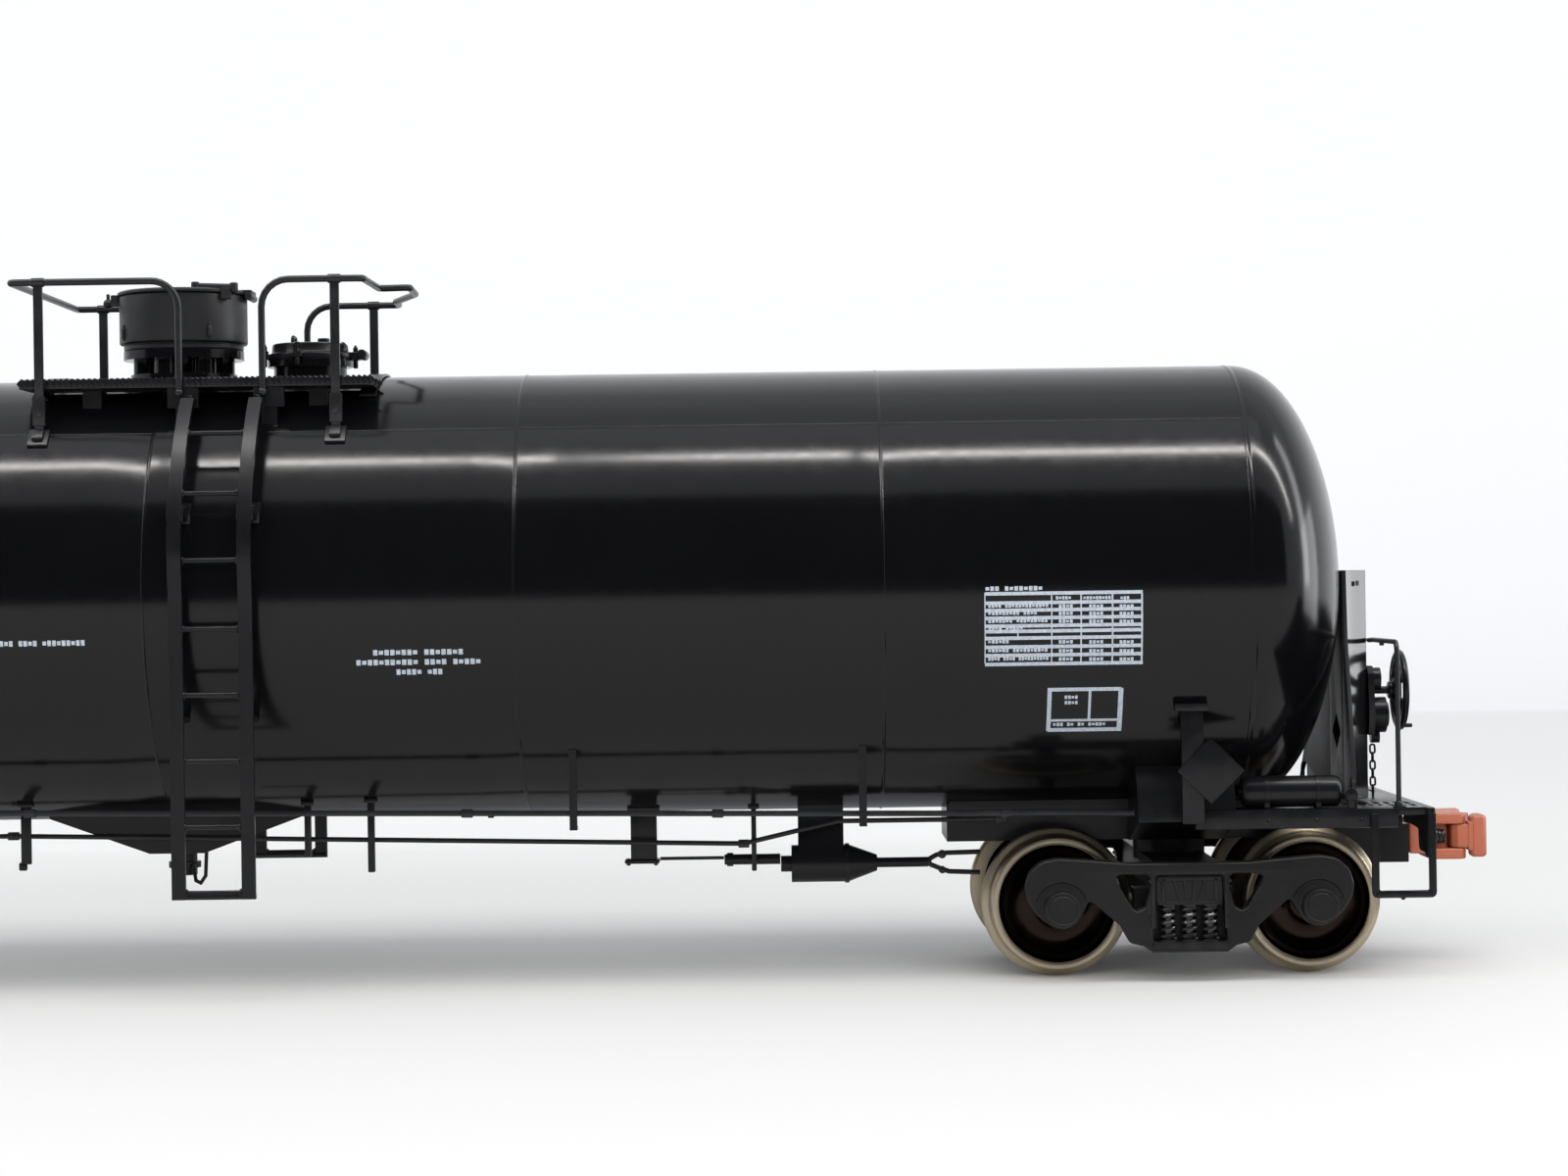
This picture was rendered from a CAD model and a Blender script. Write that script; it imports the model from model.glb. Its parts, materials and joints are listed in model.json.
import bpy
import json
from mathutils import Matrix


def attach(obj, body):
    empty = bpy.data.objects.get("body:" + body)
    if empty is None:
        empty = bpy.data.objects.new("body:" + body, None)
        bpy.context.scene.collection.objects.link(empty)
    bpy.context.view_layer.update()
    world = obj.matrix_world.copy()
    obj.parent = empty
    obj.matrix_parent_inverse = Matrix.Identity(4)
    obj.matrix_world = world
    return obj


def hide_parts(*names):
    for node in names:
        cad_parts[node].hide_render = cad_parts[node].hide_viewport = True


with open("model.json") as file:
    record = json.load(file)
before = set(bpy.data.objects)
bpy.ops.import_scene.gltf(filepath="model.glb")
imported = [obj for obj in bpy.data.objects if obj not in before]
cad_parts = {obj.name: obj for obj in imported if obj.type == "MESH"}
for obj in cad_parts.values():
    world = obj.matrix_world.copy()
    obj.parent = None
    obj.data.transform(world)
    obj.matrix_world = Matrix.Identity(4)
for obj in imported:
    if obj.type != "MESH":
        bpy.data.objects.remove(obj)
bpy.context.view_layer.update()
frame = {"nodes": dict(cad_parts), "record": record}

import bpy, bmesh, math, json, random
from mathutils import Vector, Matrix

MM = 0.001
scene = bpy.context.scene
FLOOR, WALL, WORLD, KEY, FILL, FRONT = 0.64, 0.72, 0.95, 9.5, 1.2, 11.0
COL = scene.collection
NODES = frame["nodes"]
rnd = random.Random(7)

# ------------------------------------------------------------------ camera
cam_data = bpy.data.cameras.new("camera")
cam_data.sensor_width = 36.0
cam_data.lens = 3312.0 / 1600.0 * 36.0
cam_data.clip_start = 0.01
cam_data.clip_end = 20.0
cam = bpy.data.objects.new("camera", cam_data)
COL.objects.link(cam)
cam.matrix_world = (Matrix.Translation((0.0489, -0.265, 0.0310))
                    @ Matrix.Rotation(math.radians(90), 4, 'X')
                    @ Matrix.Rotation(math.radians(-0.8), 4, 'Z'))
scene.camera = cam

# ------------------------------------------------------------------ node helpers for materials
def new_mat(name):
    m = bpy.data.materials.new(name)
    m.use_nodes = True
    nt = m.node_tree
    bsdf = nt.nodes["Principled BSDF"]
    return m, nt, bsdf

def N(nt, kind, **kw):
    n = nt.nodes.new(kind)
    for k, v in kw.items():
        if k == "inputs":
            for kk, vv in v.items():
                n.inputs[kk].default_value = vv
        else:
            setattr(n, k, v)
    return n

def L(nt, a, b):
    nt.links.new(a, b)

def ramp(nt, fac, stops):
    r = N(nt, "ShaderNodeValToRGB")
    el = r.color_ramp.elements
    while len(el) > 1:
        el.remove(el[-1])
    el[0].position, el[0].color = stops[0][0], (*stops[0][1], 1)
    for p, c in stops[1:]:
        e = el.new(p)
        e.color = (*c, 1)
    L(nt, fac, r.inputs["Fac"])
    return r

def mapr(nt, fac, a, b, c, d):
    n = N(nt, "ShaderNodeMapRange", inputs={"From Min": a, "From Max": b, "To Min": c, "To Max": d})
    L(nt, fac, n.inputs["Value"])
    return n

def noise_tex(nt, vec, scale, detail=4.0, rough=0.55, dist=0.0):
    n = N(nt, "ShaderNodeTexNoise", inputs={"Scale": scale, "Detail": detail, "Roughness": rough, "Distortion": dist})
    L(nt, vec, n.inputs["Vector"])
    return n

def plastic(name, base, rough, coat=0.0, grain=0.02, grain_scale=9000.0, vary=0.25, wear=0.0, spec=0.5, edge=(0.12, 0.12, 0.12)):
    """moulded or painted surface: faint colour drift, fine orange peel, a little handling shine and edge wear"""
    m, nt, b = new_mat(name)
    tc = N(nt, "ShaderNodeTexCoord")
    v = tc.outputs["Object"]
    big = noise_tex(nt, v, 90.0, 3.0)
    fine = noise_tex(nt, v, grain_scale, 3.0, 0.6)
    mid = noise_tex(nt, v, 900.0, 4.0)
    c0 = tuple(x * (1 - vary) for x in base)
    c1 = tuple(x * (1 + vary) for x in base)
    col = ramp(nt, big.outputs["Fac"], [(0.3, c0), (0.7, c1)])
    out = col.outputs["Color"]
    if wear > 0:
        geo = N(nt, "ShaderNodeNewGeometry")
        pt = mapr(nt, geo.outputs["Pointiness"], 0.52, 0.62, 0.0, 1.0)
        brk = mapr(nt, mid.outputs["Fac"], 0.45, 0.62, 0.0, 1.0)
        mul = N(nt, "ShaderNodeMath", operation="MULTIPLY")
        L(nt, pt.outputs[0], mul.inputs[0]); L(nt, brk.outputs[0], mul.inputs[1])
        mul2 = N(nt, "ShaderNodeMath", operation="MULTIPLY"); mul2.inputs[1].default_value = wear
        L(nt, mul.outputs[0], mul2.inputs[0])
        mix = N(nt, "ShaderNodeMix", data_type="RGBA")
        L(nt, mul2.outputs[0], mix.inputs[0]); L(nt, out, mix.inputs[6]); mix.inputs[7].default_value = (*edge, 1)
        out = mix.outputs[2]
    L(nt, out, b.inputs["Base Color"])
    rr = mapr(nt, mid.outputs["Fac"], 0.3, 0.7, rough - 0.02, rough + 0.025)
    L(nt, rr.outputs[0], b.inputs["Roughness"])
    bump = N(nt, "ShaderNodeBump", inputs={"Strength": grain, "Distance": 0.00002})
    L(nt, fine.outputs["Fac"], bump.inputs["Height"])
    L(nt, bump.outputs["Normal"], b.inputs["Normal"])
    b.inputs["Specular IOR Level"].default_value = spec
    b.inputs["Coat Weight"].default_value = coat
    b.inputs["Coat Roughness"].default_value = 0.2
    return m

def metal(name, base, rough, metallic=1.0, vary=0.2, streak=(1, 1, 1), scale=600.0, bumps=0.05):
    m, nt, b = new_mat(name)
    tc = N(nt, "ShaderNodeTexCoord")
    mp = N(nt, "ShaderNodeMapping"); mp.inputs["Scale"].default_value = streak
    L(nt, tc.outputs["Object"], mp.inputs["Vector"])
    n1 = noise_tex(nt, mp.outputs["Vector"], scale, 5.0, 0.6)
    n2 = noise_tex(nt, tc.outputs["Object"], 150.0, 3.0)
    col = ramp(nt, n2.outputs["Fac"], [(0.3, tuple(x * (1 - vary) for x in base)), (0.7, tuple(min(1, x * (1 + vary)) for x in base))])
    L(nt, col.outputs["Color"], b.inputs["Base Color"])
    rr = mapr(nt, n1.outputs["Fac"], 0.3, 0.7, rough - 0.06, rough + 0.08)
    L(nt, rr.outputs[0], b.inputs["Roughness"])
    b.inputs["Metallic"].default_value = metallic
    bump = N(nt, "ShaderNodeBump", inputs={"Strength": bumps, "Distance": 0.00002})
    L(nt, n1.outputs["Fac"], bump.inputs["Height"])
    L(nt, bump.outputs["Normal"], b.inputs["Normal"])
    return m

M = {}
M["tank_black"] = plastic("tank_black", (0.0026, 0.0027, 0.0032), 0.15, grain=0.03, grain_scale=12000, vary=0.10, spec=0.27)
M["frame_black"] = plastic("frame_black", (0.0042, 0.0044, 0.0052), 0.30, grain=0.06, vary=0.12, wear=0.03, spec=0.28)
M["wire_black"] = plastic("wire_black", (0.008, 0.0083, 0.0095), 0.32, grain=0.05, wear=0.05, spec=0.35)
M["truck_grey"] = plastic("truck_grey", (0.0068, 0.0067, 0.0067), 0.42, grain=0.12, grain_scale=7000, wear=0.05, spec=0.25)
M["stand_black"] = plastic("stand_black", (0.007, 0.0073, 0.0082), 0.15, grain=0.04, spec=0.75)
M["plate_black"] = plastic("plate_black", (0.006, 0.0063, 0.0072), 0.52, grain=0.06, spec=0.2)
M["bonnet_black"] = plastic("bonnet_black", (0.0085, 0.0088, 0.0098), 0.40, grain=0.06, spec=0.35)
M["spring_paint"] = plastic("spring_paint", (0.010, 0.010, 0.0105), 0.24, grain=0.04, spec=0.8)
M["weight_steel"] = metal("weight_steel", (0.45, 0.45, 0.46), 0.4, streak=(1, 12, 12))
M["screw_steel"] = metal("screw_steel", (0.42, 0.42, 0.44), 0.32)
M["spring_bronze"] = metal("spring_bronze", (0.62, 0.42, 0.22), 0.3)
M["spring_dark"] = metal("spring_dark", (0.10, 0.10, 0.10), 0.4)
M["coupler_rust"] = plastic("coupler_rust", (0.40, 0.108, 0.056), 0.42, grain=0.15, grain_scale=6000, vary=0.14, wear=0.15, edge=(0.5, 0.22, 0.14))
M["wheel_tread"] = metal("wheel_tread", (0.50, 0.43, 0.32), 0.40, vary=0.05, scale=300, bumps=0.0)
M["wheel_face"] = metal("wheel_face", (0.022, 0.015, 0.0125), 0.20, vary=0.2, scale=300, bumps=0.0)
M["axle_steel"] = metal("axle_steel", (0.20, 0.19, 0.18), 0.4)
M["wheel_metal"] = M["wheel_tread"]
m_white, nt, b = new_mat("print_white")
tc = N(nt, "ShaderNodeTexCoord"); nz = noise_tex(nt, tc.outputs["Object"], 5000.0, 4.0)
cr = ramp(nt, nz.outputs["Fac"], [(0.35, (0.26, 0.29, 0.34)), (0.6, (0.36, 0.40, 0.45))])
L(nt, cr.outputs["Color"], b.inputs["Base Color"]); b.inputs["Roughness"].default_value = 0.45
M["print_white"] = m_white

SLOT = {r["node"]: r["material_slot"] for r in frame["record"]["subparts"]}

# ------------------------------------------------------------------ mesh helpers
def finish_mesh(name, bm, mat, angle=35.0, smooth=True):
    me = bpy.data.meshes.new(name)
    bmesh.ops.remove_doubles(bm, verts=bm.verts, dist=1e-7)
    bmesh.ops.recalc_face_normals(bm, faces=bm.faces)
    bm.to_mesh(me); bm.free()
    for p in me.polygons:
        p.use_smooth = smooth
    if smooth:
        me.set_sharp_from_angle(angle=math.radians(angle))
    o = bpy.data.objects.new(name, me)
    COL.objects.link(o)
    for mm in (mat if isinstance(mat, (list, tuple)) else [mat]):
        me.materials.append(mm)
    return o

def place(o, body, slot, *nodes):
    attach(o, body)
    if nodes:
        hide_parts(*nodes)
    return o

def add_revolve(bm, profile, origin, axis, seg=96, closed=False, mat_of=None, phase=0.0):
    """profile: list of (radius, height along axis) in mm. Returns faces."""
    axis = Vector(axis).normalized()
    u = axis.orthogonal().normalized(); w = axis.cross(u)
    o = Vector(origin)
    rings = []
    for (r, h) in profile:
        if r < 1e-6:
            rings.append([bm.verts.new((o + axis * h) * MM)])
        else:
            rings.append([bm.verts.new((o + axis * h + (u * math.cos(a) + w * math.sin(a)) * r) * MM)
                          for a in [phase + 2 * math.pi * i / seg for i in range(seg)]])
    n = len(rings)
    pairs = [(i, i + 1) for i in range(n - 1)] + ([(n - 1, 0)] if closed else [])
    for (i, j) in pairs:
        a, b_ = rings[i], rings[j]
        for k in range(seg):
            k2 = (k + 1) % seg
            if len(a) == 1 and len(b_) == 1:
                continue
            if len(a) == 1:
                f = bm.faces.new((a[0], b_[k], b_[k2]))
            elif len(b_) == 1:
                f = bm.faces.new((a[k], b_[0], a[k2]))
            else:
                f = bm.faces.new((a[k], b_[k], b_[k2], a[k2]))
            if mat_of:
                f.material_index = mat_of(i)
    return rings

def fillet(pts, r, n=5):
    """rounds the inner corners of a polyline (mm)"""
    pts = [Vector(p) for p in pts]
    out = [pts[0]]
    rr = r if isinstance(r, (list, tuple)) else [r] * (len(pts) - 2)
    for i in range(1, len(pts) - 1):
        a, b_, c = pts[i - 1], pts[i], pts[i + 1]
        d1 = (a - b_).normalized(); d2 = (c - b_).normalized()
        ang = d1.angle(d2)
        rad = rr[i - 1]
        if rad <= 0 or abs(ang - math.pi) < 0.02:
            out.append(b_); continue
        t = min(rad / math.tan(ang / 2), (a - b_).length * 0.48, (c - b_).length * 0.48)
        rad = t * math.tan(ang / 2)
        bis = (d1 + d2).normalized()
        cen = b_ + bis * (rad / math.sin(ang / 2))
        p1, p2 = b_ + d1 * t, b_ + d2 * t
        v1, v2 = (p1 - cen), (p2 - cen)
        tot = v1.angle(v2)
        ax = v1.cross(v2).normalized()
        for k in range(n + 1):
            out.append(cen + Matrix.Rotation(tot * k / n, 3, ax) @ v1)
    out.append(pts[-1])
    return out

def add_tube(bm, pts, r, seg=12, closed=False, rx=None, up=None, cap=True):
    """sweeps a circle (or an ellipse r by rx) along points in mm"""
    pts = [Vector(p) for p in pts]
    n = len(pts)
    tang = []
    for i in range(n):
        if closed:
            t = pts[(i + 1) % n] - pts[(i - 1) % n]
        elif i == 0:
            t = pts[1] - pts[0]
        elif i == n - 1:
            t = pts[-1] - pts[-2]
        else:
            t = (pts[i + 1] - pts[i]).normalized() + (pts[i] - pts[i - 1]).normalized()
        tang.append(t.normalized())
    u = Vector(up) if up else tang[0].orthogonal()
    u = (u - tang[0] * u.dot(tang[0])).normalized()
    rings = []
    for i in range(n):
        if i > 0:
            q = tang[i - 1].rotation_difference(tang[i])
            u = (q @ u)
        u = (u - tang[i] * u.dot(tang[i])).normalized()
        w = tang[i].cross(u)
        # keeps the section's width through a mitre
        ri = r[i] if isinstance(r, (list, tuple)) else r
        r2 = rx if rx is not None else ri
        rings.append([bm.verts.new((pts[i] + u * math.cos(a) * ri + w * math.sin(a) * r2) * MM)
                      for a in [2 * math.pi * k / seg for k in range(seg)]])
    m = n if closed else n - 1
    for i in range(m):
        a, b_ = rings[i], rings[(i + 1) % n]
        for k in range(seg):
            k2 = (k + 1) % seg
            bm.faces.new((a[k], a[k2], b_[k2], b_[k]))
    if cap and not closed:
        bm.faces.new(list(reversed(rings[0])))
        bm.faces.new(rings[-1])
    return rings

def add_box(bm, lo, hi, bevel=0.06, seg=2, rot=None, origin=None):
    """box with rounded edges, in mm; rot is a Matrix about origin"""
    lo, hi = Vector(lo), Vector(hi)
    tmp = bmesh.new()
    bmesh.ops.create_cube(tmp, size=1.0)
    c, s = (lo + hi) / 2, (hi - lo)
    for v in tmp.verts:
        v.co = Vector((v.co.x * s.x, v.co.y * s.y, v.co.z * s.z)) + c
    b_ = min(bevel, min(s) * 0.45)
    if b_ > 0:
        bmesh.ops.bevel(tmp, geom=list(tmp.edges), offset=b_, segments=seg, profile=0.5, affect='EDGES')
    if rot is not None:
        og = Vector(origin) if origin is not None else c
        for v in tmp.verts:
            v.co = rot @ (v.co - og) + og
    add_bm(bm, tmp, MM)
    tmp.free()

def add_bm(bm, src, scale=1.0, matrix=None):
    vmap = {}
    for v in src.verts:
        co = v.co * scale
        if matrix is not None:
            co = matrix @ co
        vmap[v] = bm.verts.new(co)
    for f in src.faces:
        try:
            nf = bm.faces.new([vmap[v] for v in f.verts])
            nf.material_index = f.material_index
        except ValueError:
            pass

def add_cyl(bm, p, q, r, seg=24, bevel=0.05, r2=None):
    """cylinder from p to q in mm with rounded rims"""
    p, q = Vector(p), Vector(q)
    h = (q - p).length
    r2 = r if r2 is None else r2
    b1 = min(bevel, r * 0.4, h * 0.4); b2 = min(bevel, r2 * 0.4, h * 0.4)
    prof = [(0, 0), (r - b1, 0), (r - b1 * 0.3, b1 * 0.3), (r, b1), (r2, h - b2), (r2 - b2 * 0.3, h - b2 * 0.3), (r2 - b2, h), (0, h)]
    add_revolve(bm, prof, p, (q - p), seg)

def add_sphere(bm, c, r, seg=16, squash=None):
    t = bmesh.new()
    bmesh.ops.create_uvsphere(t, u_segments=seg, v_segments=max(6, seg // 2), radius=r)
    for v in t.verts:
        if squash:
            v.co = Vector((v.co.x * squash[0], v.co.y * squash[1], v.co.z * squash[2]))
        v.co += Vector(c)
    add_bm(bm, t, MM)
    t.free()

def plate_mesh(outline, holes, thick, bevel=0.06, res=2, fillets=None):
    """flat plate in its own XY plane centred on z = 0, edges rounded, as a bmesh in mm. outline and holes are lists of 2D points"""
    cu = bpy.data.curves.new("tmp_plate", 'CURVE')
    cu.dimensions = '2D'; cu.fill_mode = 'BOTH'
    cu.extrude = max(thick / 2 - bevel, 0.0001) * MM; cu.bevel_depth = bevel * MM; cu.bevel_resolution = res; cu.offset = -bevel * MM
    for loop in [outline] + list(holes):
        sp = cu.splines.new('POLY'); sp.points.add(len(loop) - 1)
        for i, p in enumerate(loop):
            sp.points[i].co = (p[0] * MM, p[1] * MM, 0, 1)
        sp.use_cyclic_u = True
    ob = bpy.data.objects.new("tmp_plate", cu)
    COL.objects.link(ob)
    bpy.context.view_layer.update()
    me = bpy.data.meshes.new_from_object(ob.evaluated_get(bpy.context.evaluated_depsgraph_get()))
    bm = bmesh.new(); bm.from_mesh(me)
    bmesh.ops.remove_doubles(bm, verts=bm.verts, dist=1e-7)
    bpy.data.objects.remove(ob); bpy.data.curves.remove(cu); bpy.data.meshes.remove(me)
    return bm

def round2(pts, r, n=4, closed=True):
    """rounds the corners of a closed 2D outline; r may be a list"""
    out = []
    m = len(pts)
    for i in range(m):
        a, b_, c = Vector(pts[i - 1]), Vector(pts[i]), Vector(pts[(i + 1) % m])
        rad = r[i] if isinstance(r, (list, tuple)) else r
        d1, d2 = (a - b_), (c - b_)
        l1, l2 = d1.length, d2.length
        d1.normalize(); d2.normalize()
        cosv = max(-1, min(1, d1.dot(d2))); ang = math.acos(cosv)
        if rad <= 0 or ang > math.pi - 0.05:
            out.append(tuple(b_)); continue
        t = min(rad / math.tan(ang / 2), l1 * 0.45, l2 * 0.45)
        p1, p2 = b_ + d1 * t, b_ + d2 * t
        for k in range(n + 1):
            s = k / n
            q = p1 * (1 - s) ** 2 + b_ * 2 * s * (1 - s) + p2 * s ** 2
            out.append(tuple(q))
    return out

XZ = lambda y: Matrix(((1, 0, 0, 0), (0, 0, -1, y * MM), (0, 1, 0, 0), (0, 0, 0, 1)))   # plate XY -> world X, Z at Y
YZ = lambda x: Matrix(((0, 0, 1, x * MM), (1, 0, 0, 0), (0, 1, 0, 0), (0, 0, 0, 1)))    # plate XY -> world Y, Z at X

R, AZ, BH, HD = 17.8, 30.8, 84.8, 8.9
SEAMS = (-56.5, -28.3, 0.0, 28.3, 56.5)

# ------------------------------------------------------------------ tank: smooth shell with welds
def tank_profile():
    prof = []   # (radius, x)
    def bead(x, w=0.30, h=0.075):
        return [(R + h * (0.5 + 0.5 * math.cos(t)), x + t / math.pi * w / 2) for t in [math.pi * k / 4 for k in range(-4, 5)]]
    xs = [-BH] + list(SEAMS) + [BH]
    prof.append((R, -BH + 0.15))
    last = -BH
    for s in SEAMS:
        for k in range(1, 8):
            prof.append((R, last + (s - last) * k / 8))
        prof += bead(s)
        last = s
    for k in range(1, 8):
        prof.append((R, last + (BH - last) * k / 8))
    prof.append((R, BH - 0.15))
    return prof

def make_barrel():
    bm = bmesh.new()
    prof = tank_profile()
    add_revolve(bm, prof, (0, 0, AZ), (1, 0, 0), seg=256)
    o = finish_mesh("tank_shell", bm, M["tank_black"], angle=60)
    place(o, "car", "tank_black", "tank_barrel")
    # long lap seams, one on each side, high on the shoulder, broken at the rings
    bm = bmesh.new()
    edges = [-BH] + list(SEAMS) + [BH]
    for side in (-1, 1):
        for i in range(len(edges) - 1):
            phi = math.radians(46.5)
            x0, x1 = edges[i] + 0.2, edges[i + 1] - 0.2
            for a, da, h in ((phi, 0.006, 0.05),):
                sec = []
                for (dt, hh) in ((-da, 0.0), (-da * 0.5, h * 0.8), (0, h), (da * 0.5, h * 0.8), (da, 0.0)):
                    rr = R - 0.02 + hh
                    sec.append((side * rr * math.cos(a + dt), AZ + rr * math.sin(a + dt)))
                v0 = [bm.verts.new(Vector((x0, y, z)) * MM) for y, z in sec]
                v1 = [bm.verts.new(Vector((x1, y, z)) * MM) for y, z in sec]
                for k in range(len(sec) - 1):
                    bm.faces.new((v0[k], v1[k], v1[k + 1], v0[k + 1]))
                bm.faces.new(v0); bm.faces.new(list(reversed(v1)))
                bm.faces.new((v0[-1], v1[-1], v1[0], v0[0]))
    o2 = finish_mesh("tank_lap_seams", bm, M["tank_black"], angle=60)
    place(o2, "car", "tank_black")
    return o

def make_head(sign, name, node):
    bm = bmesh.new()
    prof = [(R, -0.15), (R + 0.045, -0.1), (R + 0.045, 0.12), (R, 0.2), (R - 0.03, 0.32), (R, 0.44)]
    n = 40
    for k in range(1, n + 1):
        t = math.pi / 2 * k / n
        prof.append((max(R * math.cos(t), 0.0), HD * math.sin(t) + 0.44 * math.cos(t) ** 4))
    prof[-1] = (0.0, HD)
    add_revolve(bm, prof, (sign * BH, 0, AZ), (sign, 0, 0), seg=256)
    o = finish_mesh(name, bm, M["tank_black"], angle=60)
    place(o, "car", "tank_black", node)
    return o

make_barrel()
make_head(1, "tank_end_b", "tank_head_b")
make_head(-1, "tank_end_a", "tank_head_a")

# ------------------------------------------------------------------ details
def add_strip(bm, pts, w, t, side=(1, 0, 0), wfun=None):
    """flat bar swept along points in mm: w wide along side, t thick across"""
    side = Vector(side).normalized()
    pts = [Vector(p) for p in pts]
    rings = []
    for i, p in enumerate(pts):
        a = pts[max(0, i - 1)]; c = pts[min(len(pts) - 1, i + 1)]
        tg = (c - a).normalized()
        nrm = tg.cross(side).normalized()
        ww = wfun(i) if wfun else w
        rings.append([bm.verts.new((p + side * sx * ww / 2 + nrm * sn * t / 2) * MM) for sx, sn in ((-1, -1), (1, -1), (1, 1), (-1, 1))])
    for a, b_ in zip(rings, rings[1:]):
        for k in range(4):
            bm.faces.new((a[k], a[(k + 1) % 4], b_[(k + 1) % 4], b_[k]))
    bm.faces.new(list(reversed(rings[0]))); bm.faces.new(rings[-1])

def soften(o, width=0.06, angle=40, seg=2):
    w = o.modifiers.new("bevel", 'BEVEL'); w.width = width * MM; w.segments = seg; w.limit_method = 'ANGLE'
    w.angle_limit = math.radians(angle); w.use_clamp_overlap = True; w.harden_normals = True
    return o

def from_plate(bm, pb, matrix, mirror=None):
    t = pb.copy()
    if mirror is not None:
        for v in t.verts:
            v.co = mirror @ v.co
    add_bm(bm, t, 1.0, matrix)
    t.free()

def ring_bend(c, r, a0, a1, plane="xz", n=8, other=0.0):
    out = []
    for k in range(n + 1):
        a = math.radians(a0 + (a1 - a0) * k / n)
        u, v = c[0] + r * math.cos(a), c[1] + r * math.sin(a)
        out.append((u, other, v) if plane == "xz" else (other, u, v))
    return out

# ---- walkway handrails: bent wire, flat posts and their feet
RZ = 55.6
def tank_y(z, extra=0.0):
    rr = R + extra
    return math.sqrt(max(rr * rr - (z - AZ) ** 2, 0))

def rail_posts(bm, x):
    for s in (-1, 1):
        lo = lambda a, b_: (a[0], min(s * a[1], s * b_[1]), a[2])
        def sbox(a, b_, bev=0.06):
            add_box(bm, (a[0], min(s * a[1], s * b_[1]), a[2]), (b_[0], max(s * a[1], s * b_[1]), b_[2]), bev)
        sbox((x - 0.36, 12.02, 43.9), (x + 0.36, 12.38, RZ - 0.02), 0.08)
        sbox((x - 0.5, 12.02, 44.4), (x + 0.5, 12.5, 46.7), 0.1)
        # foot plate lying on the tank
        ang = math.atan2(43.4 - AZ, 12.6)
        rr = Matrix.Rotation(s * (ang - math.pi / 2), 3, 'X')
        c = Vector((x, s * 17.86 * math.cos(ang), AZ + 17.86 * math.sin(ang)))
        add_box(bm, c - Vector((0.8, 0.9, 0.16)), c + Vector((0.8, 0.9, 0.16)), 0.07, rot=rr, origin=c)
        c2 = Vector((x, s * 18.1 * math.cos(ang), AZ + 18.1 * math.sin(ang)))
        add_box(bm, c2 - Vector((0.45, 0.5, 0.3)), c2 + Vector((0.45, 0.5, 0.3)), 0.12, rot=rr, origin=c2)
        add_cyl(bm, (x, s * 12.05, 45.4), (x, s * 12.66, 45.4), 0.3, 12)
        # saddle that clasps the wire
        add_cyl(bm, (x - 0.5, s * 12.2, RZ), (x + 0.5, s * 12.2, RZ), 0.36, 16)

bm = bmesh.new()
pts = [(2.0, -12.2, 46.85), (2.0, -12.2, RZ), (-11.1, -12.2, RZ), (-11.1, 12.2, RZ), (2.0, 12.2, RZ), (2.0, 12.2, 46.85)]
add_tube(bm, fillet(pts, [2.1, 0.5, 0.5, 2.1], 8), 0.275, 14)
for s in (-1, 1):
    add_sphere(bm, (2.0, s * 12.2, 46.85), 0.36, 12)
rail_posts(bm, -8.9)
o = finish_mesh("rail_wire_left", bm, M["wire_black"], 40); place(o, "car", "wire_black", "handrail_left")
bm = bmesh.new()
pts = [(8.5, -12.2, 46.85), (8.5, -12.2, RZ), (16.4, -12.2, RZ), (16.6, -3.3, RZ), (19.1, -3.8, RZ), (18.9, 2.2, RZ), (16.5, 8.9, RZ), (16.4, 12.2, RZ), (8.5, 12.2, RZ), (8.5, 12.2, 46.85)]
add_tube(bm, fillet(pts, [2.1, 0.45, 0.45, 0.45, 0.5, 0.5, 0.5, 2.1], 6), 0.275, 14)
for s in (-1, 1):
    add_sphere(bm, (8.5, s * 12.2, 46.85), 0.36, 12)
rail_posts(bm, 14.2)
o = finish_mesh("rail_wire_right", bm, M["wire_black"], 40); place(o, "car", "wire_black", "handrail_right")

# ---- walkway gratings: side bars, a middle bar and serrated cross bars, and two straps over the crown
bm = bmesh.new()
prof = [(-10.75, 47.72), (-10.55, 47.98), (17.05, 47.98), (17.25, 47.72), (16.9, 47.3), (-10.4, 47.3)]
for s in (-1, 1):
    for (ya, yb) in ((6.8, 7.08), (9.2, 9.45), (11.62, 11.9)):
        pb = plate_mesh(prof, [], yb - ya, bevel=0.04, res=1)
        from_plate(bm, pb, XZ(s * (ya + yb) / 2)); pb.free()
    n = 62
    for i in range(n + 1):
        x = -10.35 + i * (27.2 / n)
        add_box(bm, (x - 0.1, min(s * 6.82, s * 11.93), 47.45), (x + 0.1, max(s * 6.82, s * 11.93), 48.1), 0.03, 1)
    add_box(bm, (-10.4, min(s * 6.9, s * 11.8), 47.32), (16.85, max(s * 6.9, s * 11.8), 47.52), 0.05, 1)
    for x in (-10.4, 16.75):
        add_box(bm, (x - 0.15, min(s * 6.85, s * 11.85), 47.3), (x + 0.15, max(s * 6.85, s * 11.85), 47.98), 0.04, 1)
for x in (-9.7, 16.2):
    pts = [(x, (R + 0.2) * math.cos(a), AZ + (R + 0.2) * math.sin(a)) for a in [math.radians(d) for d in range(62, 119, 4)]]
    add_strip(bm, pts, 1.3, 0.18)
o = finish_mesh("walkway_bars", bm, M["frame_black"], 30); place(o, "car", "frame_black", "walkway_grating")

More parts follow.
